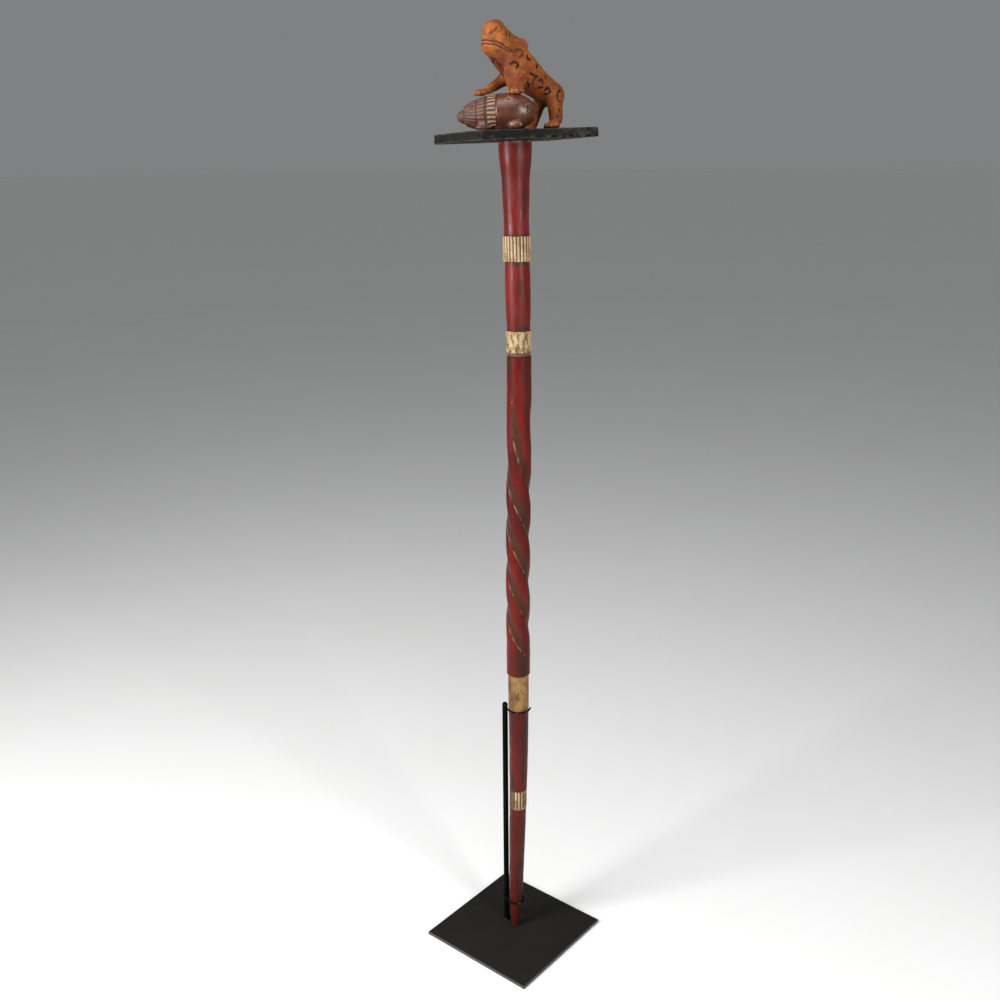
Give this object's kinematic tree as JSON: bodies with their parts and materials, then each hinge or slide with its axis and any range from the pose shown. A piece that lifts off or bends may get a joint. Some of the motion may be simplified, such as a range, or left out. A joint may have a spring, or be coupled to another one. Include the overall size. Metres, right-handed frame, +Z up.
{
  "type": "linguist staff on display stand",
  "caption": "Carved and painted wooden staff with a spotted cat over quilled prey on a board, a twisted shaft with pale bands, held upright by a steel plate, rod, hook and ring.",
  "frame": {"origin": "Centre of the base plate's underside, where the stand meets the floor.", "axes": "+Z up along the staff. The base plate's sides lie along X and Y. The picture's camera looks from -X and -Y."},
  "size_m": [0.2414, 0.222, 1.5404],
  "materials": {
    "black_steel": "satin black paint on steel",
    "red_lacquer": "worn red paint on turned and carved wood, with pale ivory-painted bands and a bare wood band",
    "black_board": "black-painted hewn board with chipped edges",
    "tan_varnish": "varnished orange-tan wood with painted black spots",
    "brown_varnish": "glossy purple-brown paint with pale carved quill strokes"
  },
  "bodies": {
    "root": {"stand_base": "black_steel", "stand_rod": "black_steel", "stand_upper_hook": "black_steel", "stand_lower_ring": "black_steel", "lower_shaft": "red_lacquer", "middle_shaft": "red_lacquer", "upper_shaft": "red_lacquer", "figure_board": "black_board", "leopard": "tan_varnish", "quilled_prey": "brown_varnish"}
  },
  "joints": []
}
